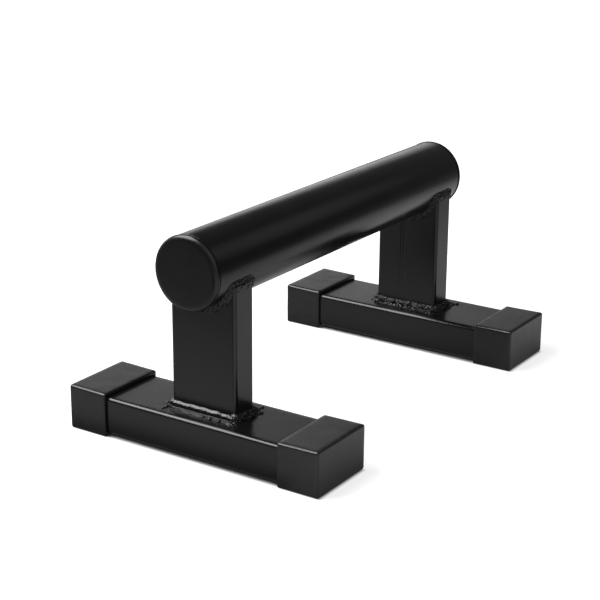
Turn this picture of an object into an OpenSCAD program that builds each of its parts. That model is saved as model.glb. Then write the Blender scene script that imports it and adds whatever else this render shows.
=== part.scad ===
// Low parallette bar: a round push-up bar welded on two posts, each on a cross foot with rubber boots.
// Millimetres. +X runs along the bar, +Y along the feet, +Z up. The origin is on the floor, midway
// between the feet. The frame is one weldment, so nothing moves.

/* [Bar] */
// Outside diameter of the bar
bar_d = 48.3; // [32:0.1:60]
// Wall of the bar
bar_wall = 2.6; // [1.6:0.1:4]
// Length of the bar without its end caps
bar_l = 300; // [280:1:400]
// Height of the bar's axis over the floor
bar_axis_z = 124; // [100:1:200]

/* [Bar end caps] */
// Thickness of the cap outside the bar
cap_t = 4.5; // [3.5:0.5:6]
// How far the cap's rim stands proud of the bar all round
cap_proud = 0.3; // [0:0.1:1]
// Round on the cap's outer edge
cap_round = 3.2; // [0.5:0.1:4]
// Open joint between the cap's rim and the end of the bar
cap_joint = 1; // [0.2:0.1:1.5]
// Depth of the open joint below the bar's surface
cap_joint_depth = 0.9; // [0.5:0.1:1.3]
// Length of the plug inside the bar
plug_l = 13; // [8:1:20]
// Wall of the hollow plug
plug_wall = 1.8; // [1:0.1:3]
// Gap between the plug's barrel and the bore
plug_gap = 0.6; // [0.4:0.1:1]
// Gap between the plug's ribs and the bore
plug_rib_gap = 0.05; // [0.02:0.01:0.2]
// Width of each gripping rib on the plug
plug_rib_w = 1.2; // [0.8:0.1:1.8]
// Distance from rib to rib
plug_rib_pitch = 3; // [2.5:0.1:4]

/* [Posts] */
// Size of a post along the bar
post_x = 20; // [15:1:30]
// Size of a post across the bar
post_y = 50; // [40:1:60]
// Wall of a post
post_wall = 2; // [1.5:0.1:3]
// Outside corner radius of a post
post_corner_r = 2.5; // [2:0.1:3]
// Distance from the end of the bar to the middle of a post
post_inset = 22.5; // [20:0.5:60]
// How far below the bar's axis the post's narrow sides are cut off square
post_top_drop = 9; // [6:0.5:12]

/* [Feet] */
// Width of a foot tube, along the bar
foot_x = 50; // [45:1:60]
// Length of a foot tube
foot_y = 190; // [150:1:260]
// Height of a foot tube
foot_z = 25; // [20:1:40]
// Wall of a foot tube
foot_wall = 2; // [1.5:0.1:3]
// Outside corner radius of a foot tube
foot_corner_r = 2.5; // [1.6:0.1:3]

/* [Rubber boots] */
// Length of foot tube that a boot covers
boot_cover = 27.5; // [15:0.5:40]
// Side wall of a boot
boot_side = 2; // [1.5:0.1:4]
// Sole of a boot, under the tube
boot_sole = 2.3; // [1.5:0.1:5]
// Roof of a boot
boot_roof = 3; // [1.5:0.1:5]
// End wall of a boot
boot_end = 2.2; // [1.5:0.1:5]
// Slack between the tube's top and the boot's roof
boot_slack = 0.4; // [0:0.1:0.8]
// Outside corner radius of a boot
boot_corner_r = 2; // [1:0.1:3]

/* [Welds] */
// Leg of the bead between post and foot
base_leg = 4.5; // [3:0.5:6]
// Leg of the bead between post and bar
saddle_leg = 4.5; // [3:0.5:6]

/* [Hidden] */
$fn = 96;
LEFT = -1;
RIGHT = 1;
FRONT = -1;
REAR = 1;
eps = 0.01;
// Smallest inside corner radius of a rectangular tube
inner_corner_r = 0.5;
bar_r = bar_d / 2;
bore_r = bar_r - bar_wall;
rim_r = bar_r + cap_proud;
plug_r = bore_r - plug_gap;
plug_ribs = floor((plug_l - plug_rib_w) / plug_rib_pitch);
post_at = bar_l / 2 - post_inset;
post_base_z = boot_sole + foot_z;
post_top_z = bar_axis_z - post_top_drop;
boot_x = foot_x + 2 * boot_side;
boot_y = boot_cover + boot_end;
boot_z = boot_sole + foot_z + boot_slack + boot_roof;
// The bead's round face: centre and radius as shares of its leg, which keep it a little full
bead_centre = 0.18;
bead_r = 0.82;
// A bead on the post's wide face follows the bar down from where the bar meets the narrow side
saddle_half_angle = acos(post_top_drop / bar_r);
// The beads on the narrow sides lie in the corner between the square cut and the bar
end_bead_share = 0.8;
end_bead_r = end_bead_share * saddle_leg;
end_bead_y = post_y / 2 - post_wall / 2;

// Rectangle with round corners, centred, made of exact straight and round pieces
module round_rect(x, y, r) {
    square([x - 2 * r, y], center = true);
    square([x, y - 2 * r], center = true);
    for (sx = [-1, 1], sy = [-1, 1])
        translate([sx * (x / 2 - r), sy * (y / 2 - r)]) circle(r);
}

// Rectangular tube section with round corners inside and outside
module tube_section(x, y, wall, r) {
    difference() {
        round_rect(x, y, r);
        round_rect(x - 2 * wall, y - 2 * wall, max(r - wall, inner_corner_r));
    }
}

// Turns a shape drawn upwards along Z so that it runs along +X
module along_x() {
    rotate([0, 90, 0]) children();
}

// Solid as large as the bar, for coping the posts and trimming the beads
module bar_envelope() {
    translate([0, 0, bar_axis_z]) along_x() cylinder(h = bar_l, r = bar_r, center = true);
}

// Solid as large as one post before it is coped
module post_envelope() {
    translate([0, 0, post_base_z])
        linear_extrude(post_top_z - post_base_z) round_rect(post_x, post_y, post_corner_r);
}

module bar_tube() {
    color("#1b1b1d")
        translate([0, 0, bar_axis_z]) along_x() difference() {
            cylinder(h = bar_l, r = bar_r, center = true);
            cylinder(h = bar_l + 2, r = bore_r, center = true);
        }
}

// Half section of the cap's head: a disc with a rounded outer edge, clear of the bar by the open joint
module cap_head() {
    intersection() {
        translate([0, cap_joint]) square([rim_r, cap_t - cap_joint]);
        union() {
            square([rim_r - cap_round, cap_t]);
            square([rim_r, max(cap_t - cap_round, eps)]);
            translate([rim_r - cap_round, cap_t - cap_round]) circle(cap_round);
        }
    }
}

// Half section of a cap: first coordinate is the radius, second runs outwards from the bar's end
module cap_section() {
    difference() {
        union() {
            cap_head();
            square([bar_r - cap_joint_depth, cap_joint + eps]);
            translate([0, -plug_l]) square([plug_r, plug_l + eps]);
            for (rib = [1 : plug_ribs])
                translate([plug_r - eps, -rib * plug_rib_pitch - plug_rib_w / 2])
                    square([plug_gap - plug_rib_gap + eps, plug_rib_w]);
        }
        translate([0, -plug_l - 1]) square([plug_r - plug_wall, plug_l + 1]);
    }
}

module bar_end_cap(end) {
    color("#161618")
        translate([end * bar_l / 2, 0, bar_axis_z])
            rotate([0, end * 90, 0]) rotate_extrude() cap_section();
}

module post(end) {
    color("#1b1b1d")
        translate([end * post_at, 0, 0]) difference() {
            translate([0, 0, post_base_z])
                linear_extrude(post_top_z - post_base_z)
                    tube_section(post_x, post_y, post_wall, post_corner_r);
            bar_envelope();
        }
}

module foot_tube(end) {
    color("#1b1b1d")
        translate([end * post_at, foot_y / 2, boot_sole + foot_z / 2])
            rotate([90, 0, 0]) linear_extrude(foot_y)
                tube_section(foot_x, foot_z, foot_wall, foot_corner_r);
}

// Boot: a rubber cup pushed over the end of a foot tube, its sole under the tube
module boot(end, side) {
    color("#242426")
        translate([end * post_at, side * (foot_y / 2 + boot_end), 0])
            rotate([0, 0, side > 0 ? 0 : 180]) difference() {
                translate([0, 0, boot_z / 2]) rotate([90, 0, 0])
                    linear_extrude(boot_y) round_rect(boot_x, boot_z, boot_corner_r);
                translate([0, -boot_end, boot_sole + foot_z / 2]) rotate([90, 0, 0])
                    linear_extrude(boot_cover + 1) round_rect(foot_x, foot_z, foot_corner_r);
                translate([0, -boot_end, boot_sole + foot_z / 2 + boot_slack]) rotate([90, 0, 0])
                    linear_extrude(boot_cover + 1) round_rect(foot_x, foot_z, foot_corner_r);
            }
}

// Section of a fillet bead in the corner of the two axes, a little full
module bead_section(leg) {
    intersection() {
        square(leg);
        translate([bead_centre * leg, bead_centre * leg]) circle(bead_r * leg);
    }
}

// Straight run of bead, centred, along X, with its corner at the origin and its legs on -Y and +Z
module bead_run(leg, run) {
    rotate([90, 0, -90]) translate([0, 0, -run / 2]) linear_extrude(run) bead_section(leg);
}

// Bead all round the post on top of the foot
module base_weld(end) {
    turn_x = post_x / 2 - post_corner_r;
    turn_y = post_y / 2 - post_corner_r;
    color("#141416")
        translate([end * post_at, 0, post_base_z]) {
            for (side = [0, 180]) {
                rotate([0, 0, side]) translate([0, -post_y / 2, 0]) bead_run(base_leg, 2 * turn_x);
                rotate([0, 0, side + 90]) translate([0, -post_x / 2, 0]) bead_run(base_leg, 2 * turn_y);
            }
            for (corner = [0 : 3])
                translate([
                    (corner == 0 || corner == 3 ? 1 : -1) * turn_x,
                    (corner < 2 ? 1 : -1) * turn_y,
                    0
                ])
                    rotate([0, 0, corner * 90]) rotate_extrude(angle = 90)
                        translate([post_corner_r, 0]) bead_section(base_leg);
        }
}

// Round rod turned about the bar's axis, in the corner of one wide face of a post and the bar
module saddle_arc() {
    translate([post_x / 2, 0, bar_axis_z])
        along_x() rotate([0, 0, -saddle_half_angle])
            rotate_extrude(angle = 2 * saddle_half_angle)
                translate([bar_r + bead_centre * saddle_leg, bead_centre * saddle_leg])
                    circle(bead_r * saddle_leg);
}

// Round rod with round ends, over one narrow side of a post and along the flank of the bar
module saddle_end() {
    translate([-post_x / 2, end_bead_y, post_top_z]) along_x() rotate_extrude() intersection() {
        union() {
            square([end_bead_r, post_x]);
            for (turn = [0, post_x]) translate([0, turn]) circle(end_bead_r);
        }
        translate([0, -end_bead_r]) square([end_bead_r, post_x + 2 * end_bead_r]);
    }
}

// Bead round the top of a post under the bar: what of the rods stands outside the post and the bar
module saddle_weld(end) {
    color("#141416")
        translate([end * post_at, 0, 0]) difference() {
            for (face = [0, 180]) rotate([0, 0, face]) {
                saddle_arc();
                saddle_end();
            }
            bar_envelope();
            post_envelope();
        }
}

bar_tube();
bar_end_cap(LEFT);  // bar_end_cap_left
bar_end_cap(RIGHT);  // bar_end_cap_right
post(LEFT);  // post_left
post(RIGHT);  // post_right
foot_tube(LEFT);  // foot_tube_left
foot_tube(RIGHT);  // foot_tube_right
boot(LEFT, FRONT);  // boot_left_front
boot(LEFT, REAR);  // boot_left_rear
boot(RIGHT, FRONT);  // boot_right_front
boot(RIGHT, REAR);  // boot_right_rear
base_weld(LEFT);  // base_weld_left
base_weld(RIGHT);  // base_weld_right
saddle_weld(LEFT);  // saddle_weld_left
saddle_weld(RIGHT);  // saddle_weld_right
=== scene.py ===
"""Dresses the packed frame of a low parallette bar: steel, weld beads, rubber boots and plastic caps."""

import math
from typing import NamedTuple

import bmesh
import bpy
from mathutils import Matrix, Vector, noise


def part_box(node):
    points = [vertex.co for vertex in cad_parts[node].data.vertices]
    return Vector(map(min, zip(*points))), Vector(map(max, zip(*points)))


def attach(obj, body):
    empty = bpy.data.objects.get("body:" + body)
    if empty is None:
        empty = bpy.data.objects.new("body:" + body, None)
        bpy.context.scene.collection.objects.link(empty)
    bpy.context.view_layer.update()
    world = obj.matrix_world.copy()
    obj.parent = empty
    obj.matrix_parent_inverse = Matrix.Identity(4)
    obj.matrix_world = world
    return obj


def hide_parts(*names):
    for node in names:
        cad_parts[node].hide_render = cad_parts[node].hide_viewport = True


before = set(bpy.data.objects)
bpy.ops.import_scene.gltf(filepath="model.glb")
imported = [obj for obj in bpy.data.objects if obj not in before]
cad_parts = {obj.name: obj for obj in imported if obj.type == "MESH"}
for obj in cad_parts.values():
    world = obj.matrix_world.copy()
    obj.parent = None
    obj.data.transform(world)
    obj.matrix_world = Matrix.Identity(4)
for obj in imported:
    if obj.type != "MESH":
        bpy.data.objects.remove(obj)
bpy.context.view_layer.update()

bl_info = {
    "name": "Parallette bar dressing",
    "version": (1, 0, 0),
    "blender": (4, 5, 0),
    "location": "View3D > Sidebar > Parallette",
    "description": "Detailed surfaces for a welded low parallette bar, and the studio around it",
    "category": "Object",
}

MM = 0.001
ROOT = "root"
SIDES = {"left": -1, "right": 1}
ENDS = {"front": -1, "rear": 1}


def span(node):
    """Centre and size of a CAD node's box, in metres."""
    low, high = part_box(node)
    return (low + high) / 2, high - low


# Places and sizes that every piece is worked out from, read from the packed frame
BAR_CENTRE, BAR_SIZE = span("bar_tube")
BAR_R = BAR_SIZE.z / 2
BAR_HALF = BAR_SIZE.x / 2
AXIS_Z = BAR_CENTRE.z
POST_CENTRE, POST_SIZE = span("post_right")
POST_AT = POST_CENTRE.x
POST_BASE_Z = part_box("post_right")[0].z
POST_TOP_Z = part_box("post_right")[1].z
FOOT_CENTRE, FOOT_SIZE = span("foot_tube_right")
BOOT_LOW, BOOT_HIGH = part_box("boot_right_rear")
CAP_RIM_R = span("bar_end_cap_right")[1].z / 2
CAP_OUT_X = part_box("bar_end_cap_right")[1].x
CAP_IN_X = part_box("bar_end_cap_right")[0].x
BASE_LEG = span("base_weld_right")[1].z


# Ways in which the room is bright in reflections: behind, before and to the right
BACK_WAY = (0.5, 0.87, 0.0)
FRONT_WAY = (-0.46, -0.65, 0.6)
RIGHT_WAY = (0.69, -0.5, 0.52)
# The way to the key lamp
KEY_WAY = (-0.37, 0.5, 0.78)
# Middles of the painted pool of light and of the painted dark patch that the floor shows in reflections
POOL_AT = (0.14, -0.05, 0)
PAINTED_DARK_AT = (-0.55, 0.02, 0)


# Sizes and colours that a user would change


class ParalletteSteel(bpy.types.PropertyGroup):
    """Tubes and their powder coat."""

    bar_wall: bpy.props.FloatProperty(
        name="Bar wall", description="Wall of the round bar", default=2.6 * MM, unit="LENGTH")
    post_corner: bpy.props.FloatProperty(
        name="Post corner", description="Outside corner radius of a post",
        default=2.5 * MM, unit="LENGTH")
    foot_corner: bpy.props.FloatProperty(
        name="Foot corner", description="Outside corner radius of a foot tube",
        default=2.5 * MM, unit="LENGTH")
    tube_wall: bpy.props.FloatProperty(
        name="Tube wall", description="Wall of posts and feet", default=2.0 * MM, unit="LENGTH")
    seam_offset: bpy.props.FloatProperty(
        name="Seam offset", description="Distance of a post's tube seam from its middle",
        default=3.9 * MM, unit="LENGTH")
    seam_width: bpy.props.FloatProperty(
        name="Seam width", description="Distance between the two grooves of a tube seam",
        default=2.2 * MM, unit="LENGTH")
    seam_depth: bpy.props.FloatProperty(
        name="Seam depth", description="Depth of the grooves of a tube seam",
        default=0.12 * MM, unit="LENGTH")
    coat_colour: bpy.props.FloatVectorProperty(
        name="Coat colour", description="Colour of the powder coat", subtype="COLOR", size=3,
        default=(0.003, 0.003, 0.0031), min=0, max=1)
    coat_roughness: bpy.props.FloatProperty(
        name="Coat roughness", description="Mean roughness of the powder coat",
        default=0.21, min=0, max=1)
    coat_grain: bpy.props.FloatProperty(
        name="Coat grain", description="Size of the coat's fine texture",
        default=0.55 * MM, unit="LENGTH")


class ParalletteWelds(bpy.types.PropertyGroup):
    """Weld beads and spatter."""

    ripple_pitch: bpy.props.FloatProperty(
        name="Ripple pitch", description="Distance from ripple to ripple",
        default=1.7 * MM, unit="LENGTH")
    ripple_height: bpy.props.FloatProperty(
        name="Ripple height", description="Height of a ripple on a rough run",
        default=0.2 * MM, unit="LENGTH")
    lump_size: bpy.props.FloatProperty(
        name="Lump size", description="Width of the lumps on a rough run",
        default=1.8 * MM, unit="LENGTH")
    lump_height: bpy.props.FloatProperty(
        name="Lump height", description="Height of the lumps on a rough run",
        default=2.1 * MM, unit="LENGTH")
    wave_height: bpy.props.FloatProperty(
        name="Wave height", description="Height of the slow waves on every run",
        default=0.3 * MM, unit="LENGTH")
    calm: bpy.props.FloatProperty(
        name="Calm run", description="Share of ripples and lumps on the even runs",
        default=0.12, min=0, max=1)
    saddle_rough: bpy.props.FloatProperty(
        name="Saddle roughness", description="Share of ripples and lumps on the beads under the bar",
        default=1.0, min=0, max=1)
    spatter_size: bpy.props.FloatProperty(
        name="Spatter size", description="Radius of the largest droplets",
        default=1.8 * MM, unit="LENGTH")
    spatter_density: bpy.props.FloatProperty(
        name="Spatter density", description="Droplets per square metre along a bead's toe",
        default=100000.0, min=0)
    seed: bpy.props.IntProperty(name="Seed", description="Seed of ripples and droplets", default=7)
    roughness: bpy.props.FloatProperty(
        name="Bead roughness", description="Roughness of the coat where it pooled on the beads",
        default=0.11, min=0, max=1)


class ParalletteRubber(bpy.types.PropertyGroup):
    """Rubber boots."""

    flare: bpy.props.FloatProperty(
        name="Flare", description="How much taller the closed end is than the lip",
        default=0.5 * MM, unit="LENGTH")
    edge_round: bpy.props.FloatProperty(
        name="Edge round", description="Round on the closed end's edges", default=1.4 * MM, unit="LENGTH")
    corner: bpy.props.FloatProperty(
        name="Corner", description="Round on the long edges", default=1.9 * MM, unit="LENGTH")
    lip_round: bpy.props.FloatProperty(
        name="Lip round", description="Round on the lip", default=0.9 * MM, unit="LENGTH")
    end_dish: bpy.props.FloatProperty(
        name="End dish", description="Depth to which the closed end sinks in its middle",
        default=0.25 * MM, unit="LENGTH")
    unevenness: bpy.props.FloatProperty(
        name="Unevenness", description="Height of the soft waves of the moulded faces",
        default=0.07 * MM, unit="LENGTH")
    colour: bpy.props.FloatVectorProperty(
        name="Rubber colour", description="Colour of the rubber", subtype="COLOR", size=3,
        default=(0.007, 0.007, 0.0074), min=0, max=1)


class ParalletteCaps(bpy.types.PropertyGroup):
    """Plastic end caps."""

    rim_width: bpy.props.FloatProperty(
        name="Rim width", description="Width of the rounded rim, seen from the end",
        default=4.6 * MM, unit="LENGTH")
    joint: bpy.props.FloatProperty(
        name="Joint", description="Open joint between cap and bar", default=1.0 * MM, unit="LENGTH")
    joint_depth: bpy.props.FloatProperty(
        name="Joint depth", description="Depth of the open joint", default=2.0 * MM, unit="LENGTH")
    rib_pitch: bpy.props.FloatProperty(
        name="Rib pitch", description="Distance between ribs on the plug",
        default=3.0 * MM, unit="LENGTH")
    colour: bpy.props.FloatVectorProperty(
        name="Plastic colour", description="Colour of the caps", subtype="COLOR", size=3,
        default=(0.004, 0.004, 0.004), min=0, max=1)


class ParalletteStage(bpy.types.PropertyGroup):
    """Camera and light."""

    yaw: bpy.props.FloatProperty(
        name="Yaw", description="Turn of the camera about the vertical", subtype="ANGLE",
        default=math.radians(-56.547))
    pitch: bpy.props.FloatProperty(
        name="Pitch", description="Height angle of the camera", subtype="ANGLE",
        default=math.radians(18.736))
    roll: bpy.props.FloatProperty(
        name="Roll", description="Roll of the camera", subtype="ANGLE", default=math.radians(0.373))
    distance: bpy.props.FloatProperty(
        name="Distance", description="Distance of the camera along its view",
        default=1.112014, unit="LENGTH")
    across: bpy.props.FloatProperty(
        name="Across", description="Sideways place of the camera", default=-0.015299, unit="LENGTH")
    height: bpy.props.FloatProperty(
        name="Height", description="Place of the camera along its own upright",
        default=0.061148, unit="LENGTH")
    lens: bpy.props.FloatProperty(name="Lens", description="Focal length in millimetres", default=94.295)
    key_size: bpy.props.FloatProperty(
        name="Key size", description="Side of the soft key light", default=1.0, unit="LENGTH")
    key_power: bpy.props.FloatProperty(
        name="Key power", description="Power of the key light in watts", default=33.0)
    floor_paint: bpy.props.FloatProperty(
        name="Floor paint", description="Share of light that the floor throws back",
        default=0.45, min=0, max=1)
    floor_glow: bpy.props.FloatProperty(
        name="Floor glow", description="Brightness of the floor to the camera where no light falls",
        default=0.74, min=0)
    mirror_glow: bpy.props.FloatProperty(
        name="Mirror glow", description="Brightness of the floor in reflections where no light falls",
        default=0.38, min=0)


# Node trees


class Tree:
    """Adds nodes to a node tree and links them, one call for each node."""

    def __init__(self, tree):
        self.tree = tree

    def add(self, kind, inputs=None, **settings):
        node = self.tree.nodes.new(kind)
        for name, value in settings.items():
            setattr(node, name, value)
        for key, value in (inputs or {}).items():
            socket = node.inputs[key]
            if isinstance(value, bpy.types.NodeSocket):
                self.tree.links.new(value, socket)
            else:
                socket.default_value = value
        return node


def new_material(name):
    """A material, its Tree and its Object coordinates."""
    material = bpy.data.materials.new(name)
    material.use_nodes = True
    material.node_tree.nodes.clear()
    tree = Tree(material.node_tree)
    return material, tree, tree.add("ShaderNodeTexCoord").outputs["Object"]


def noise_at(tree, coordinates, size, detail=2.0, roughness=0.5):
    """Noise whose features measure about size metres."""
    return tree.add("ShaderNodeTexNoise", {
        "Vector": coordinates, "Scale": 1 / size, "Detail": detail, "Roughness": roughness,
    }).outputs["Fac"]


def ranged(tree, value, low, high, out_low, out_high):
    """value, mapped from low..high to out_low..out_high and clamped."""
    return tree.add("ShaderNodeMapRange", {
        "Value": value, "From Min": low, "From Max": high, "To Min": out_low, "To Max": out_high,
    }).outputs["Result"]


def maths(tree, operation, *values):
    """Result of a Math node on numbers and sockets."""
    return tree.add("ShaderNodeMath", dict(enumerate(values)), operation=operation).outputs[0]


def shades(tree, value, colour, dark, light):
    """A colour, made dark to light times as bright by value. The Mix node's sockets go by their place."""
    low = (*(dark * c for c in colour), 1)
    high = (*(light * c for c in colour), 1)
    return tree.add("ShaderNodeMix", {0: value, 6: low, 7: high}, data_type="RGBA").outputs[2]


def bumped(tree, height, distance, strength, normal=None):
    """A Bump node's normal."""
    inputs = {"Height": height, "Distance": distance, "Strength": strength}
    if normal is not None:
        inputs["Normal"] = normal
    return tree.add("ShaderNodeBump", inputs).outputs["Normal"]


def end_in_shader(tree, colour, rough, normal, gloss):
    """Ends a material's tree in its shader. gloss is the refractive index."""
    shader = tree.add("ShaderNodeBsdfPrincipled", {
        "Base Color": colour, "Roughness": rough, "Normal": normal, "IOR": gloss,
    })
    tree.add("ShaderNodeOutputMaterial", {"Surface": shader.outputs["BSDF"]})


# Refractive index of the coat, of the plastic and of the rubber
COAT_GLOSS = 1.42
CAP_GLOSS = 1.38
RUBBER_GLOSS = 1.44


def coat_material(name):
    """Satin powder coat: fine grain over a soft orange peel, with roughness that wanders a little."""
    steel = bpy.context.scene.parallette_steel
    material, tree, spot = new_material(name)
    grain = noise_at(tree, spot, steel.coat_grain, detail=3.0, roughness=0.6)
    peel = noise_at(tree, spot, 5 * steel.coat_grain)
    drift = noise_at(tree, spot, 30 * MM, detail=3.0)
    normal = bumped(tree, peel, 0.10 * MM, 0.35)
    normal = bumped(tree, grain, 0.05 * MM, 0.55, normal)
    colour = shades(tree, drift, steel.coat_colour, 0.85, 1.2)
    rough = ranged(tree, drift, 0.3, 0.7, steel.coat_roughness - 0.04, steel.coat_roughness + 0.05)
    end_in_shader(tree, colour, rough, normal, COAT_GLOSS)
    return material


def bead_material(name):
    """Glossy coat over a weld bead: a finely uneven skin, with patches that are less glossy."""
    steel = bpy.context.scene.parallette_steel
    welds = bpy.context.scene.parallette_welds
    material, tree, spot = new_material(name)
    skin = noise_at(tree, spot, 1.1 * MM, detail=3.0, roughness=0.55)
    patch = noise_at(tree, spot, 4 * MM)
    normal = bumped(tree, skin, 0.16 * MM, 0.6)
    rough = ranged(tree, patch, 0.3, 0.7, welds.roughness - 0.03, welds.roughness + 0.06)
    colour = shades(tree, patch, steel.coat_colour, 0.8, 1.3)
    end_in_shader(tree, colour, rough, normal, COAT_GLOSS)
    return material


def rubber_material(name):
    """Matte moulded rubber, mottled by its release film."""
    rubber = bpy.context.scene.parallette_rubber
    material, tree, spot = new_material(name)
    cloud = noise_at(tree, spot, 9 * MM, detail=4.0, roughness=0.62)
    speck = noise_at(tree, spot, 0.5 * MM)
    colour = shades(tree, ranged(tree, cloud, 0.35, 0.65, 0, 1), rubber.colour, 0.75, 1.35)
    rough = ranged(tree, cloud, 0.35, 0.65, 0.27, 0.36)
    normal = bumped(tree, speck, 0.05 * MM, 0.5)
    end_in_shader(tree, colour, rough, normal, RUBBER_GLOSS)
    return material


def cap_material(name):
    """Moulded plastic with a fine eroded texture."""
    caps = bpy.context.scene.parallette_caps
    material, tree, spot = new_material(name)
    grain = noise_at(tree, spot, 0.35 * MM)
    drift = noise_at(tree, spot, 12 * MM)
    normal = bumped(tree, grain, 0.04 * MM, 0.6)
    colour = shades(tree, drift, caps.colour, 0.85, 1.2)
    rough = ranged(tree, drift, 0.3, 0.7, 0.24, 0.3)
    end_in_shader(tree, colour, rough, normal, CAP_GLOSS)
    return material


def material_of(slot):
    """The material of that slot, made on first use."""
    makers = {
        "powder_coat": coat_material, "weld_coat": bead_material,
        "boot_rubber": rubber_material, "cap_plastic": cap_material,
    }
    return bpy.data.materials.get(slot + "_surface") or makers[slot](slot + "_surface")


# Mesh building


def arc(centre, radius, start, end, steps):
    """Points of an arc in a plane, angles in degrees."""
    turns = (math.radians(start + (end - start) * k / steps) for k in range(steps + 1))
    return [(centre[0] + radius * math.cos(t), centre[1] + radius * math.sin(t)) for t in turns]


def round_rect(x, y, r, corner_steps=8, side_step=2.5 * MM):
    """Outline of a rectangle with round corners, anticlockwise, with points along its sides too."""
    outline = []
    corners = ((1, 1, 0), (-1, 1, 90), (-1, -1, 180), (1, -1, 270))
    middle_x = x / 2 - r
    middle_y = y / 2 - r
    turns = [arc((sx * middle_x, sy * middle_y), r, a, a + 90, corner_steps) for sx, sy, a in corners]
    for k, turn in enumerate(turns):
        outline += turn
        start, end = Vector(turn[-1]), Vector(turns[(k + 1) % 4][0])
        parts = max(1, round((end - start).length / side_step))
        outline += [tuple(start.lerp(end, i / parts)) for i in range(1, parts)]
    return outline


def inside(outline, wall):
    """Outline of a tube's inside. Its corners keep their radius."""
    return [(x - math.copysign(wall, x), y - math.copysign(wall, y)) for x, y in outline]


def bridge(bm, low, high):
    """Faces between two rings of vertices."""
    for k in range(len(low)):
        n = (k + 1) % len(low)
        bm.faces.new((low[k], low[n], high[n], high[k]))


def loft(bm, rings, closed=False):
    """Faces between rings of points. closed joins the last ring to the first."""
    made = [[bm.verts.new(p) for p in ring] for ring in rings]
    pairs = list(zip(made, made[1:])) + ([(made[-1], made[0])] if closed else [])
    for low, high in pairs:
        bridge(bm, low, high)
    return made


def close_end(bm, ring, sink):
    """Closes a ring of vertices with smaller rings and a middle vertex, which sink along sink."""
    middle = sum((v.co for v in ring), Vector()) / len(ring)
    outer = ring
    for share in (0.92, 0.75, 0.5, 0.25):
        depth = sink * (1 - share ** 2)
        inner = [bm.verts.new(middle.lerp(v.co, share) + depth) for v in ring]
        bridge(bm, outer, inner)
        outer = inner
    tip = bm.verts.new(middle + sink)
    for k in range(len(ring)):
        bm.faces.new((outer[k], outer[(k + 1) % len(ring)], tip))


def linked(name, data):
    """A new object in the scene."""
    obj = bpy.data.objects.new(name, data)
    bpy.context.scene.collection.objects.link(obj)
    return obj


def mesh_of(name, bm):
    """The mesh, its faces turned outwards."""
    bmesh.ops.recalc_face_normals(bm, faces=bm.faces)
    mesh = bpy.data.meshes.new(name)
    bm.to_mesh(mesh)
    bm.free()
    return mesh


def mesh_object(name, bm, smooth_angle=40):
    """An object of the mesh, shaded smooth but for edges sharper than smooth_angle degrees."""
    bmesh.ops.remove_doubles(bm, verts=bm.verts, dist=1e-7)
    mesh = mesh_of(name, bm)
    mesh.shade_smooth()
    mesh.set_sharp_from_angle(angle=math.radians(smooth_angle))
    return linked(name, mesh)


def dress(obj, slot, *nodes):
    """Gives a finished piece the material of its slot, hangs it on its body and hides the CAD nodes it
    stands for.
    """
    obj.data.materials.clear()
    obj.data.materials.append(material_of(slot))
    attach(obj, ROOT)
    if nodes:
        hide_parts(*nodes)


def lathe(name, profile, steps=144):
    """Turns a closed profile of (x, radius) points about the bar's axis."""
    bm = bmesh.new()
    rings = []
    for k in range(steps):
        t = 2 * math.pi * k / steps
        rings.append([(x, r * math.sin(t), AXIS_Z + r * math.cos(t)) for x, r in profile])
    loft(bm, rings, closed=True)
    return mesh_object(name, bm)


# Pieces


class PARALLETTE_OT_bar(bpy.types.Operator):
    """Round bar with eased tube ends"""

    bl_idname = "parallette.bar"
    bl_label = "Bar"
    bl_options = {"REGISTER", "UNDO"}

    def execute(self, context):
        steel = context.scene.parallette_steel
        bore = BAR_R - steel.bar_wall
        ease = 0.2 * MM
        profile = arc((BAR_HALF - ease, BAR_R - ease), ease, 90, 0, 4)
        profile += arc((BAR_HALF - ease, bore + ease), ease, 0, -90, 4)
        profile += [(-x, r) for x, r in reversed(profile)]
        dress(lathe("bar", profile), "powder_coat", "bar_tube")
        return {"FINISHED"}


class PARALLETTE_OT_caps(bpy.types.Operator):
    """End caps: a disc with a rounded rim over a hollow ribbed plug"""

    bl_idname = "parallette.caps"
    bl_label = "End caps"
    bl_options = {"REGISTER", "UNDO"}

    def execute(self, context):
        caps = context.scene.parallette_caps
        steel = context.scene.parallette_steel
        bore = BAR_R - steel.bar_wall
        face_r = CAP_RIM_R - caps.rim_width
        depth = CAP_OUT_X - BAR_HALF
        rise = depth - caps.joint - 0.5 * MM
        plug_r = bore - 0.6 * MM
        plug_in = CAP_IN_X - BAR_HALF
        rib_r = bore - 0.05 * MM
        outline = [(depth, 0.0), (depth, 0.5 * face_r), (depth, face_r)]
        steps = 12
        for k in range(1, steps + 1):
            t = math.radians(90 * k / steps)
            outline.append((depth - rise * (1 - math.cos(t)), face_r + caps.rim_width * math.sin(t)))
        ease = 0.3 * MM
        joint_r = BAR_R - caps.joint_depth
        outline += [(caps.joint + ease, CAP_RIM_R), (caps.joint, CAP_RIM_R - ease)]
        outline += [(caps.joint, joint_r), (0.0, joint_r), (0.0, plug_r)]
        ribs = int((-plug_in - 2 * MM) / caps.rib_pitch)
        rib_foot = 0.6 * MM
        rib_tip = 0.25 * MM
        for k in range(ribs):
            x = -(k + 1) * caps.rib_pitch
            outline += [(x + rib_foot, plug_r), (x + rib_tip, rib_r)]
            outline += [(x - rib_tip, rib_r), (x - rib_foot, plug_r)]
        plug_wall = 1.8 * MM
        hollow_r = plug_r - plug_wall
        outline += [(plug_in, plug_r), (plug_in, hollow_r), (0.0, hollow_r), (0.0, 0.0)]
        for side, end in SIDES.items():
            profile = [(end * (BAR_HALF + x), r) for x, r in outline]
            cap = lathe(f"bar_cap_{side}", profile)
            dress(cap, "cap_plastic", f"bar_end_cap_{side}")
        return {"FINISHED"}


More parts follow.
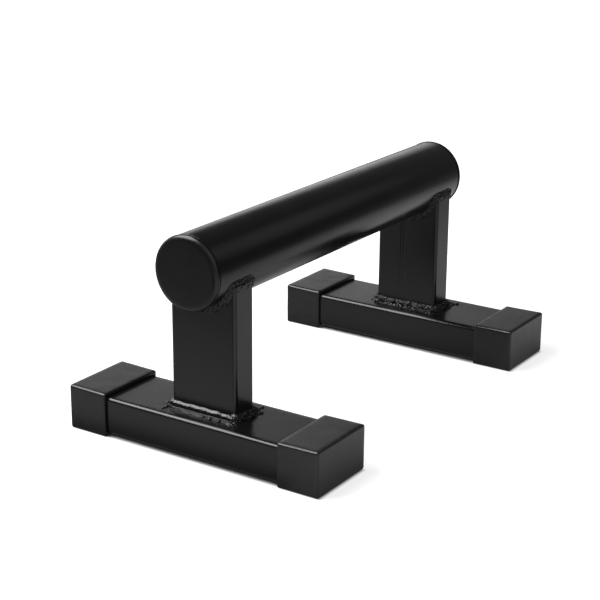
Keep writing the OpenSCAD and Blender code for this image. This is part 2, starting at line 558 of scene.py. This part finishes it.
class PARALLETTE_OT_posts(bpy.types.Operator):
    """Posts: rectangular tubes coped to the bar, each with its tube seam"""

    bl_idname = "parallette.posts"
    bl_label = "Posts"
    bl_options = {"REGISTER", "UNDO"}

    def top(self, y):
        """Height at which the coped tube ends, at that place across the bar."""
        if abs(y) >= BAR_R:
            return POST_TOP_Z
        return min(POST_TOP_Z, AXIS_Z - math.sqrt(BAR_R ** 2 - y ** 2))

    def seam(self, steel, out, y):
        """Depth of the two fine grooves of the tube's seam, on the face that looks at the other post."""
        if out > -(POST_SIZE.x / 2 - 0.01 * MM):
            return 0.0
        groove_half = 0.5 * MM
        off = abs(abs(y - steel.seam_offset) - steel.seam_width / 2) / groove_half
        return steel.seam_depth * max(0.0, 1 - off ** 2)

    def execute(self, context):
        steel = context.scene.parallette_steel
        outer = round_rect(POST_SIZE.x, POST_SIZE.y, steel.post_corner, side_step=0.3 * MM)
        inner = inside(outer, steel.tube_wall)
        for side, end in SIDES.items():
            bm = bmesh.new()
            skin = [(x + end * self.seam(steel, x * end, y), y) for x, y in outer]
            at = end * POST_AT
            levels = [
                [(at + x, y, POST_BASE_Z) for x, y in inner],
                [(at + x, y, POST_BASE_Z) for x, y in skin],
                [(at + x, y, self.top(y)) for x, y in skin],
                [(at + x, y, self.top(y)) for x, y in inner],
            ]
            loft(bm, levels, closed=True)
            dress(mesh_object(f"post_tube_{side}", bm), "powder_coat", f"post_{side}")
        return {"FINISHED"}


class PARALLETTE_OT_feet(bpy.types.Operator):
    """Foot tubes, open at the ends inside the boots"""

    bl_idname = "parallette.feet"
    bl_label = "Foot tubes"
    bl_options = {"REGISTER", "UNDO"}

    def execute(self, context):
        steel = context.scene.parallette_steel
        outer = round_rect(FOOT_SIZE.x, FOOT_SIZE.z, steel.foot_corner)
        inner = inside(outer, steel.tube_wall)
        half = FOOT_SIZE.y / 2
        for side, end in SIDES.items():
            bm = bmesh.new()
            rings = []
            for outline, y in ((inner, -half), (outer, -half), (outer, half), (inner, half)):
                rings.append([(end * POST_AT + x, y, FOOT_CENTRE.z + z) for x, z in outline])
            loft(bm, rings, closed=True)
            dress(mesh_object(f"foot_{side}", bm), "powder_coat", f"foot_tube_{side}")
        return {"FINISHED"}


class PARALLETTE_OT_boots(bpy.types.Operator):
    """Rubber boots with a rounded lip, a slight flare and uneven moulded faces"""

    bl_idname = "parallette.boots"
    bl_label = "Boots"
    bl_options = {"REGISTER", "UNDO"}

    def section(self, width, height, corner, y, base_z):
        """One ring of a boot, at y from the lip, its underside at base_z."""
        points = round_rect(width, height, corner, corner_steps=6)
        return [(x, y, base_z + height / 2 + z) for x, z in points]

    def rings(self, rubber):
        """Rings from the lip along the outside to the closed end."""
        length = BOOT_HIGH.y - BOOT_LOW.y
        width = BOOT_HIGH.x - BOOT_LOW.x
        top = BOOT_HIGH.z
        lip_height = top - rubber.flare
        lip, edge = rubber.lip_round, rubber.edge_round
        steps = 5
        places = arc((lip, lip), lip, 180, 270, steps)
        straight = length - lip - edge
        parts = 11
        places += [(lip + straight * k / parts, 0.0) for k in range(1, parts)]
        places += arc((length - edge, edge), edge, -90, 0, steps)
        rings = []
        for y, inset in places:
            height = lip_height + rubber.flare * y / length - 2 * inset
            corner = max(rubber.corner - inset, 0.3 * MM)
            rings.append(self.section(width - 2 * inset, height, corner, y, inset))
        return rings

    def sink_faces(self, bm, rubber, shift):
        """Sinks the outer faces unevenly. shift gives each boot its own waves."""
        waves_per_metre = 90
        end_y = BOOT_HIGH.y - BOOT_LOW.y - rubber.end_dish
        for v in bm.verts:
            wave = noise.noise(v.co * waves_per_metre + shift)
            sunk = rubber.unevenness * min(0.0, wave - 0.3)
            if v.co.z > 1 * MM and abs(v.co.x) > FOOT_SIZE.x / 2:
                v.co.x += math.copysign(1, v.co.x) * sunk
            if v.co.z > BOOT_HIGH.z - 2 * MM:
                v.co.z += sunk
            if v.co.y > end_y - 0.1 * MM:
                v.co.y += sunk

    def execute(self, context):
        rubber = context.scene.parallette_rubber
        foot_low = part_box("foot_tube_right")[0].z
        depth = FOOT_SIZE.y / 2 - BOOT_LOW.y
        pocket_height = FOOT_SIZE.z + 0.4 * MM
        for side, end in SIDES.items():
            for place, way in ENDS.items():
                bm = bmesh.new()
                rings = self.rings(rubber)
                pocket = [
                    self.section(FOOT_SIZE.x, pocket_height, rubber.corner, y, foot_low)
                    for y in (depth, 0.0)
                ]
                made = loft(bm, pocket + rings)
                close_end(bm, made[0], Vector())
                close_end(bm, made[-1], Vector((0, -rubber.end_dish, 0)))
                self.sink_faces(bm, rubber, Vector((7 * end, 3 * way, 0)))
                turn = Matrix.Diagonal((1, way, 1, 1))
                place_at = Matrix.Translation((end * POST_AT, way * (FOOT_SIZE.y / 2 - depth), 0))
                bm.transform(place_at @ turn)
                boot = mesh_object(f"rubber_boot_{side}_{place}", bm, 50)
                dress(boot, "boot_rubber", f"boot_{side}_{place}")
        return {"FINISHED"}


# Weld beads


# Section of a bead on a foot, from its toe on the foot to its toe on the post, in shares of its two legs:
# a thin skirt, a steep flank and a sloping back. The ends lie a little below the faces.
BASE_SECTION = (
    (1.2, -0.07), (1.12, 0.02), (0.84, 0.08), (0.58, 0.13), (0.55, 0.14), (0.54, 0.18),
    (0.53, 0.34), (0.5, 0.52), (0.44, 0.66), (0.35, 0.77), (0.24, 0.87), (0.12, 0.95), (-0.04, 1.02),
)
# The highest place in a section's list
LAST = len(BASE_SECTION) - 1
# Section of a bead under the bar, from the bar to the post: a chamfer that bulges a little
SADDLE_SECTION = tuple(
    (max(0.0, math.cos(turn)) ** 1.6, math.sin(turn) ** 1.6)
    for turn in (math.pi / 2 * k / LAST for k in range(LAST + 1))
)
# Place of the hidden edge of a bead, inside the metal that it joins, in shares of its legs
BEAD_ROOT = (-0.22, -0.22)


class Station(NamedTuple):
    """One place along a bead: its corner, its two legs, its section and how rough it is there."""

    corner: Vector
    leg_a: Vector
    leg_b: Vector
    section: tuple
    rough: float

    def ring(self):
        """Points round the bead here, the hidden edge last."""
        shares = self.section + (BEAD_ROOT,)
        return [self.corner + self.leg_a * a + self.leg_b * b for a, b in shares]


def bead_skin(name, stations):
    """Closed skin through the stations. Each point carries where it lies along and across the bead."""
    bm = bmesh.new()
    loft(bm, [station.ring() for station in stations], closed=True)
    mesh = mesh_of(name, bm)
    turns, across, cover, rough = [], [], [], []
    for k, station in enumerate(stations):
        turn = 2 * math.pi * k / len(stations)
        for j in range(LAST + 2):
            turns += [math.cos(turn), math.sin(turn), 0.0]
            across.append(min(j / LAST, 1.0))
            cover.append(math.sin(math.pi * j / LAST) ** 0.5 if 0 < j < LAST else 0.0)
            rough.append(station.rough)
    mesh.attributes.new("bead_turn", "FLOAT_VECTOR", "POINT").data.foreach_set("vector", turns)
    for label, values in (("bead_across", across), ("bead_cover", cover), ("bead_rough", rough)):
        mesh.attributes.new(label, "FLOAT", "POINT").data.foreach_set("value", values)
    return linked(name, mesh)


def new_group(name, numbers):
    """A geometry node group with those inputs beside the usual ones, its Tree and its input sockets."""
    group = bpy.data.node_groups.new(name, "GeometryNodeTree")
    kinds = {"Geometry": "Geometry", "Seed": "Int", "Material": "Material"}
    kinds.update(dict.fromkeys(numbers, "Float"))
    for label, kind in kinds.items():
        group.interface.new_socket(label, in_out="INPUT", socket_type="NodeSocket" + kind)
    group.interface.new_socket("Geometry", in_out="OUTPUT", socket_type="NodeSocketGeometry")
    tree = Tree(group)
    return group, tree, tree.add("NodeGroupInput").outputs


def end_in_mesh(tree, geometry, material):
    """Ends a group in one smooth mesh of that material."""
    smooth = tree.add("GeometryNodeSetShadeSmooth", {"Geometry": geometry}).outputs[0]
    real = tree.add("GeometryNodeRealizeInstances", {"Geometry": smooth}).outputs[0]
    coated = tree.add("GeometryNodeSetMaterial", {"Geometry": real, "Material": material}).outputs[0]
    tree.add("NodeGroupOutput", {"Geometry": coated})


def carried(tree, name, kind="FLOAT"):
    """What the skin carries at each point under that name."""
    node = tree.add("GeometryNodeInputNamedAttribute", {"Name": name}, data_type=kind)
    return node.outputs["Attribute"]


def times(tree, vector, scale):
    """A vector times a number."""
    return tree.add("ShaderNodeVectorMath", {0: vector, "Scale": scale}, operation="SCALE").outputs[0]


def swing(tree, place, size, height, detail=1.0):
    """Noise whose features measure about size metres, swinging by height to either side of nought."""
    near = times(tree, place, maths(tree, "DIVIDE", 1.0, size))
    noisy = maths(tree, "SUBTRACT", noise_at(tree, near, 1.0, detail=detail), 0.5)
    return maths(tree, "MULTIPLY", noisy, maths(tree, "MULTIPLY", height, 2.0))


def bead_tree():
    """Geometry nodes that smooth a bead's skin and raise ripples, lumps and waves on it."""
    group, tree, given = new_group(
        "weld_bead", ("Ripples", "Ripple Height", "Lump Size", "Lump Height", "Wave Height"))
    skin = tree.add("GeometryNodeSubdivisionSurface", {"Mesh": given["Geometry"], "Level": 2})
    position = tree.add("GeometryNodeInputPosition").outputs["Position"]
    seed_step = 0.37
    shift = maths(tree, "MULTIPLY", given["Seed"], seed_step)
    place = tree.add("ShaderNodeVectorMath", {0: position, 1: shift}, operation="ADD").outputs[0]
    bead_turn = carried(tree, "bead_turn", "FLOAT_VECTOR")
    along = tree.add("ShaderNodeSeparateXYZ", {"Vector": bead_turn}).outputs
    turn = maths(tree, "DIVIDE", maths(tree, "ARCTAN2", along["Y"], along["X"]), 2 * math.pi)
    # A ripple's middle runs ahead of its ends, and the ripples drift nearer and farther apart.
    off_middle = maths(tree, "SUBTRACT", carried(tree, "bead_across"), 0.5)
    chevron = maths(tree, "MULTIPLY", maths(tree, "MULTIPLY", off_middle, off_middle), 2.4)
    drift = swing(tree, place, 7 * MM, 1.2)
    count = maths(tree, "MULTIPLY", turn, given["Ripples"])
    phase = maths(tree, "ADD", count, maths(tree, "ADD", chevron, drift))
    swung = maths(tree, "SUBTRACT", maths(tree, "MULTIPLY", maths(tree, "FRACT", phase), 2.0), 1.0)
    coin = maths(tree, "SUBTRACT", 0.5, maths(tree, "MULTIPLY", swung, swung))
    ripple = maths(tree, "MULTIPLY", coin, given["Ripple Height"])
    lump = swing(tree, place, given["Lump Size"], given["Lump Height"], detail=3.0)
    wave = swing(tree, place, 5.5 * MM, given["Wave Height"])
    rugged = maths(tree, "MULTIPLY", maths(tree, "ADD", ripple, lump), carried(tree, "bead_rough"))
    height = maths(tree, "MULTIPLY", maths(tree, "ADD", rugged, wave), carried(tree, "bead_cover"))
    normal = tree.add("GeometryNodeInputNormal").outputs["Normal"]
    raised = tree.add("GeometryNodeSetPosition", {
        "Geometry": skin.outputs["Mesh"], "Offset": times(tree, normal, height),
    })
    end_in_mesh(tree, raised.outputs["Geometry"], given["Material"])
    return group


def spatter_tree():
    """Geometry nodes that scatter droplets over a patch, each a little lower than it is wide."""
    group, tree, given = new_group("weld_spatter", ("Density", "Size"))
    spots = tree.add("GeometryNodeDistributePointsOnFaces", {
        "Mesh": given["Geometry"], "Density": given["Density"], "Seed": given["Seed"],
    })
    size = tree.add("FunctionNodeRandomValue", {"Seed": given["Seed"]}, data_type="FLOAT")
    share = [socket for socket in size.outputs if socket.enabled][0]
    wide = maths(tree, "MULTIPLY", given["Size"], ranged(tree, share, 0, 1, 0.4, 1))
    low = maths(tree, "MULTIPLY", wide, 0.7)
    drop = tree.add("GeometryNodeMeshIcoSphere", {"Radius": 1.0, "Subdivisions": 2})
    placed = tree.add("GeometryNodeInstanceOnPoints", {
        "Points": spots.outputs["Points"], "Instance": drop.outputs["Mesh"],
        "Scale": tree.add("ShaderNodeCombineXYZ", {"X": wide, "Y": wide, "Z": low}).outputs[0],
    })
    end_in_mesh(tree, placed.outputs["Instances"], given["Material"])
    return group


def grown(source, group, values):
    """Runs a geometry node group on source and returns the result as a plain mesh object."""
    modifier = source.modifiers.new("grow", "NODES")
    modifier.node_group = group
    for item in group.interface.items_tree:
        if item.in_out == "INPUT" and item.name in values:
            modifier[item.identifier] = values[item.name]
    graph = bpy.context.evaluated_depsgraph_get()
    mesh = bpy.data.meshes.new_from_object(source.evaluated_get(graph))
    source.modifiers.remove(modifier)
    made = linked(source.name + "_mesh", mesh)
    bpy.data.objects.remove(source)
    return made


class PARALLETTE_OT_welds(bpy.types.Operator):
    """Rippled beads between post and foot and between post and bar"""

    bl_idname = "parallette.welds"
    bl_label = "Weld beads"
    bl_options = {"REGISTER", "UNDO"}

    def wander(self, point, seed):
        """A factor near 1 that changes slowly from place to place."""
        size = 8 * MM
        reach = 0.22
        return 1 + reach * noise.noise(point / size + Vector((seed, 0, 0)))

    def outline(self, steel):
        """Points round a post with the way that each of them looks."""
        reach_x = POST_SIZE.x / 2 - steel.post_corner
        reach_y = POST_SIZE.y / 2 - steel.post_corner
        for x, y in round_rect(POST_SIZE.x, POST_SIZE.y, steel.post_corner, 6, 1 * MM):
            middle = Vector((min(max(x, -reach_x), reach_x), min(max(y, -reach_y), reach_y), 0))
            yield Vector((x, y, 0)), (Vector((x, y, 0)) - middle).normalized()

    def base_stations(self, steel, welds, end):
        """Stations round a post's foot. The bead swells at one front corner and on the narrow sides."""
        stations = []
        seed = 3.0 + end
        knot_size = 4 * MM
        front_corner = Vector((-POST_SIZE.x / 2, -POST_SIZE.y / 2, 0))
        for point, way in self.outline(steel):
            side = abs(way.y)
            knot = math.exp(-((point - front_corner).length / knot_size) ** 2)
            leg = BASE_LEG * self.wander(point, seed)
            out = leg * (1 + 0.1 * side + 0.4 * knot)
            rise = leg * (0.93 + 0.15 * side + 0.2 * knot)
            # The run on the outer face is even. The one on the inner face is nearly as rough as the sides.
            on_outer_face = (way.x < 0) == (end < 0)
            calm = welds.calm if on_outer_face else min(1.0, 8 * welds.calm)
            rough = calm + (1 - calm) * max(side, knot)
            corner = Vector((end * POST_AT, 0, POST_BASE_Z)) + point
            stations.append(Station(corner, way * out, Vector((0, 0, rise)), BASE_SECTION, rough))
        return stations

    def under_bar(self, x, turn):
        """A place on the bar, turned that far from its lowest line."""
        return Vector((x, BAR_R * math.sin(turn), AXIS_Z - BAR_R * math.cos(turn)))

    def saddle_stations(self, steel, welds, end):
        """Stations round a post's top: along the cope on the wide faces, level on the narrow sides."""
        stations = []
        seed = 9.0 + end
        reach = math.acos((AXIS_Z - POST_TOP_Z) / BAR_R)
        for point, way in self.outline(steel):
            turn = math.asin(max(-math.sin(reach), min(math.sin(reach), point.y / BAR_R)))
            steep = min(1.0, max(0.0, (abs(turn) / reach - 0.6) / 0.4))
            wide = abs(way.x)
            leg = BASE_LEG * self.wander(point, seed)
            out = 0.95 * leg
            corner = self.under_bar(point.x, turn)
            toe_a = self.under_bar(point.x + out * way.x, turn + out * way.y / BAR_R)
            lean = turn * (1 - 0.7 * steep)
            down = leg * (1.08 - 0.3 * steep)
            toe_wide = corner + Vector((0, math.sin(lean), -math.cos(lean))) * down
            toe_side = Vector((point.x, point.y, POST_TOP_Z - 0.8 * leg))
            toe_b = toe_side.lerp(toe_wide, wide)
            place = corner + Vector((end * POST_AT, 0, 0))
            leg_a = toe_a - corner
            leg_b = toe_b - corner
            stations.append(Station(place, leg_a, leg_b, SADDLE_SECTION, welds.saddle_rough))
        return stations

    def execute(self, context):
        steel = context.scene.parallette_steel
        welds = context.scene.parallette_welds
        nodes = bead_tree()
        for side, end in SIDES.items():
            runs = {
                "base": self.base_stations(steel, welds, end),
                "saddle": self.saddle_stations(steel, welds, end),
            }
            for run, stations in runs.items():
                corners = [station.corner for station in stations]
                length = sum((corners[k] - corners[k - 1]).length for k in range(len(corners)))
                skin = bead_skin(f"{run}_bead_skin_{side}", stations)
                bead = grown(skin, nodes, {
                    "Ripples": float(round(length / welds.ripple_pitch)),
                    "Ripple Height": welds.ripple_height,
                    "Lump Size": welds.lump_size, "Lump Height": welds.lump_height,
                    "Wave Height": welds.wave_height,
                    "Seed": welds.seed + 10 * end, "Material": material_of("weld_coat"),
                })
                bead.name = f"{run}_bead_{side}"
                dress(bead, "weld_coat", f"{run}_weld_{side}")
        return {"FINISHED"}


class PARALLETTE_OT_spatter(bpy.types.Operator):
    """Droplets that the welding threw on the feet"""

    bl_idname = "parallette.spatter"
    bl_label = "Weld spatter"
    bl_options = {"REGISTER", "UNDO"}

    def execute(self, context):
        welds = context.scene.parallette_welds
        belts = {
            "near": (BASE_LEG - 0.2 * MM, BASE_LEG + 1.3 * MM, welds.spatter_density),
            "far": (BASE_LEG + 1.3 * MM, BASE_LEG + 5.5 * MM, 0.06 * welds.spatter_density),
        }
        nodes = spatter_tree()
        for side, end in SIDES.items():
            for belt, (inner, outer, density) in belts.items():
                bm = bmesh.new()
                rings = []
                for gap in (inner, outer):
                    wide = POST_SIZE.x + 2 * gap
                    deep = POST_SIZE.y + 2 * gap
                    outline = round_rect(wide, deep, gap, side_step=10 * MM)
                    rings.append([(end * POST_AT + x, y, POST_BASE_Z) for x, y in outline])
                loft(bm, rings)
                patch = mesh_object(f"spatter_patch_{side}_{belt}", bm)
                drops = grown(patch, nodes, {
                    "Density": density, "Size": welds.spatter_size,
                    "Seed": welds.seed + 10 + end, "Material": material_of("weld_coat"),
                })
                drops.name = f"weld_spatter_{side}_{belt}"
                dress(drops, "weld_coat")
        return {"FINISHED"}


class PARALLETTE_OT_stage(bpy.types.Operator):
    """White floor, soft studio light and the camera"""

    bl_idname = "parallette.stage"
    bl_label = "Stage"
    bl_options = {"REGISTER", "UNDO"}

    def camera(self, stage):
        """The photograph's viewpoint."""
        right = Vector((math.cos(stage.yaw), math.sin(stage.yaw), 0))
        back = Vector((math.sin(stage.yaw) * math.cos(stage.pitch),
                       -math.cos(stage.yaw) * math.cos(stage.pitch), math.sin(stage.pitch)))
        up = back.cross(right)
        rolled_right = right * math.cos(stage.roll) + up * math.sin(stage.roll)
        rolled_up = up * math.cos(stage.roll) - right * math.sin(stage.roll)
        data = bpy.data.cameras.new("camera")
        data.sensor_width = 36
        data.lens = stage.lens
        data.clip_end = 20
        camera = linked("camera", data)
        turn = Matrix((rolled_right, rolled_up, back)).transposed().to_4x4()
        place = back * stage.distance + right * stage.across + up * stage.height
        camera.matrix_world = Matrix.Translation(place) @ turn
        bpy.context.scene.camera = camera

    def key_lamp(self, stage):
        """A square lamp that shines at the middle of the object."""
        data = bpy.data.lights.new("key", "AREA")
        data.size = stage.key_size
        data.energy = stage.key_power
        lamp = linked("key", data)
        way = Vector(KEY_WAY).normalized()
        target = Vector((0, 0, 70 * MM))
        distance = 1.3
        lamp.location = target + way * distance
        lamp.rotation_euler = way.to_track_quat("Z", "Y").to_euler()

    def measured(self, tree, operation, a, b):
        """The number that a Vector Math node makes of two vectors."""
        return tree.add("ShaderNodeVectorMath", {0: a, 1: b}, operation=operation).outputs["Value"]

    def clear_of_feet(self, tree, place):
        """How far a spot of the floor lies outside the nearest foot: less than nought under it."""
        aside = maths(tree, "SUBTRACT", maths(tree, "ABSOLUTE", place["X"]), POST_AT)
        beside = maths(tree, "SUBTRACT", maths(tree, "ABSOLUTE", aside), FOOT_SIZE.x / 2)
        beyond = maths(tree, "SUBTRACT", maths(tree, "ABSOLUTE", place["Y"]), BOOT_HIGH.y)
        return maths(tree, "MAXIMUM", beside, beyond)

    def mirrored_share(self, tree, spot, place, clear):
        """Painted light and shade of the floor in reflections: a painted pool of light, painted shade
        between and close to the feet, a painted bright patch before and to the left, and a painted dark
        patch.
        """
        # Places are in metres from the middle of the object.
        # Painted pool of light, brightest near its middle.
        pool = ranged(tree, self.measured(tree, "DISTANCE", spot, POOL_AT), 0.2, 0.66, 1.25, 0.3)
        # Painted shade on the floor between the feet.
        dim = ranged(tree, place["X"], -0.06, 0.08, 0.5, 0.75)
        to_side = ranged(tree, maths(tree, "ABSOLUTE", place["X"]), 0.15, 0.18, 0.0, 1.0)
        to_front = ranged(tree, place["Y"], -0.03, -0.09, 0.0, 1.0)
        between = maths(tree, "MAXIMUM", dim, maths(tree, "MAXIMUM", to_side, to_front))
        # Painted contact shade close to the feet.
        contact = ranged(tree, clear, 0.0, 0.04, 0.5, 1.0)
        share = maths(tree, "MULTIPLY", maths(tree, "MULTIPLY", pool, between), contact)
        # Painted brighter patch before and to the left.
        left = ranged(tree, place["X"], -0.15, -0.21, 0.0, 1.0)
        before = ranged(tree, place["Y"], -0.05, -0.12, 0.0, 0.9)
        share = maths(tree, "ADD", share, maths(tree, "MULTIPLY", left, before))
        # Painted dark patch on the floor in reflections, darkest at its middle.
        painted_dark = ranged(tree, self.measured(tree, "DISTANCE", spot, PAINTED_DARK_AT), 0.08, 0.18, 0.2, 1.0)
        return maths(tree, "MULTIPLY", share, painted_dark)

    def floor(self, stage):
        """White to the camera but for the soft shadow, partly lit and partly painted shade at the feet;
        darker in reflections, with painted light and shade.
        """
        bm = bmesh.new()
        bmesh.ops.create_grid(bm, x_segments=1, y_segments=1, size=3)
        floor = mesh_object("floor", bm)
        material, tree, spot = new_material("floor_paint")
        place = tree.add("ShaderNodeSeparateXYZ", {"Vector": spot}).outputs
        clear = self.clear_of_feet(tree, place)
        far = self.measured(tree, "DISTANCE", spot, (0, 0, 0))
        # To the camera the glow is lower near the object, so the lit shadow shows, and it fades out at the
        # feet: painted shade under and beside the foot tubes.
        glow = maths(tree, "MULTIPLY", ranged(tree, far, 0.25, 0.6, stage.floor_glow, 1.0),
                     ranged(tree, clear, -1 * MM, 2 * MM, 0.0, 1.0))
        seen = tree.add("ShaderNodeAddShader", {
            0: tree.add("ShaderNodeBsdfDiffuse", {"Color": (*[stage.floor_paint] * 3, 1)}).outputs[0],
            1: tree.add("ShaderNodeEmission", {"Strength": glow}).outputs[0],
        }).outputs[0]
        share = self.mirrored_share(tree, spot, place, clear)
        # The painted light and shade go into both the floor's colour and its glow in reflections.
        lit = maths(tree, "MULTIPLY", share, 0.5 * stage.floor_paint)
        unlit = maths(tree, "MULTIPLY", share, stage.mirror_glow)
        mirrored = tree.add("ShaderNodeAddShader", {
            0: tree.add("ShaderNodeBsdfDiffuse", {"Color": lit}).outputs[0],
            1: tree.add("ShaderNodeEmission", {"Strength": unlit}).outputs[0],
        }).outputs[0]
        camera_ray = tree.add("ShaderNodeLightPath").outputs["Is Camera Ray"]
        shown = tree.add("ShaderNodeMixShader", {"Fac": camera_ray, 1: mirrored, 2: seen}).outputs[0]
        tree.add("ShaderNodeOutputMaterial", {"Surface": shown})
        floor.data.materials.append(material)

    def world(self):
        """White to the camera. In reflections, a dim room with glows behind, before and to the right."""
        world = bpy.data.worlds.new("studio")
        bpy.context.scene.world = world
        world.use_nodes = True
        world.node_tree.nodes.clear()
        tree = Tree(world.node_tree)
        way = tree.add("ShaderNodeTexCoord").outputs["Generated"]
        height = tree.add("ShaderNodeSeparateXYZ", {"Vector": way}).outputs["Z"]
        low_glow = ranged(tree, height, 0.41, 0.345, 0.0, 1.0)
        back_glow = ranged(tree, self.measured(tree, "DOT_PRODUCT", way, BACK_WAY), 0.72, 0.90, 0.0, 1.0)
        front_glow = ranged(tree, self.measured(tree, "DOT_PRODUCT", way, FRONT_WAY), 0.7, 0.95, 0.0, 0.8)
        right_glow = ranged(tree, self.measured(tree, "DOT_PRODUCT", way, RIGHT_WAY), 0.94, 1.0, 0.0, 0.32)
        behind = maths(tree, "MULTIPLY", low_glow, back_glow)
        glows = maths(tree, "ADD", behind, maths(tree, "ADD", front_glow, right_glow))
        room_light = 0.1
        strength = maths(tree, "ADD", glows, room_light)
        white = (1, 1, 1, 1)
        dim = tree.add("ShaderNodeBackground", {"Color": white, "Strength": strength}).outputs[0]
        bright = tree.add("ShaderNodeBackground", {"Color": white, "Strength": 1.0}).outputs[0]
        camera_ray = tree.add("ShaderNodeLightPath").outputs["Is Camera Ray"]
        shown = tree.add("ShaderNodeMixShader", {"Fac": camera_ray, 1: dim, 2: bright}).outputs[0]
        tree.add("ShaderNodeOutputWorld", {"Surface": shown})

    def execute(self, context):
        stage = context.scene.parallette_stage
        self.camera(stage)
        self.floor(stage)
        self.world()
        self.key_lamp(stage)
        context.scene.view_settings.view_transform = "Standard"
        return {"FINISHED"}


class PARALLETTE_PT_panel(bpy.types.Panel):
    """Lists the pieces and their settings"""

    bl_idname = "PARALLETTE_PT_panel"
    bl_label = "Parallette bar"
    bl_space_type = "VIEW_3D"
    bl_region_type = "UI"
    bl_category = "Parallette"

    def draw(self, context):
        layout = self.layout
        for group in GROUPS:
            box = layout.box()
            box.label(text=group[1].__doc__)
            settings = getattr(context.scene, group[0])
            for name in settings.bl_rna.properties.keys():
                if name not in ("rna_type", "name"):
                    box.prop(settings, name)
        for operator in OPERATORS:
            layout.operator(operator.bl_idname)


GROUPS = (
    ("parallette_steel", ParalletteSteel),
    ("parallette_welds", ParalletteWelds),
    ("parallette_rubber", ParalletteRubber),
    ("parallette_caps", ParalletteCaps),
    ("parallette_stage", ParalletteStage),
)
OPERATORS = (
    PARALLETTE_OT_stage, PARALLETTE_OT_bar, PARALLETTE_OT_caps, PARALLETTE_OT_posts,
    PARALLETTE_OT_feet, PARALLETTE_OT_boots, PARALLETTE_OT_welds, PARALLETTE_OT_spatter,
)


def register():
    for name, group in GROUPS:
        bpy.utils.register_class(group)
        setattr(bpy.types.Scene, name, bpy.props.PointerProperty(type=group))
    for operator in OPERATORS:
        bpy.utils.register_class(operator)
    bpy.utils.register_class(PARALLETTE_PT_panel)


def unregister():
    bpy.utils.unregister_class(PARALLETTE_PT_panel)
    for operator in reversed(OPERATORS):
        bpy.utils.unregister_class(operator)
    for name, group in reversed(GROUPS):
        delattr(bpy.types.Scene, name)
        bpy.utils.unregister_class(group)


def main():
    register()
    bpy.ops.parallette.stage()
    bpy.ops.parallette.bar()
    bpy.ops.parallette.caps()
    bpy.ops.parallette.posts()
    bpy.ops.parallette.feet()
    bpy.ops.parallette.boots()
    bpy.ops.parallette.welds()
    bpy.ops.parallette.spatter()


if __name__ == "__main__":
    main()
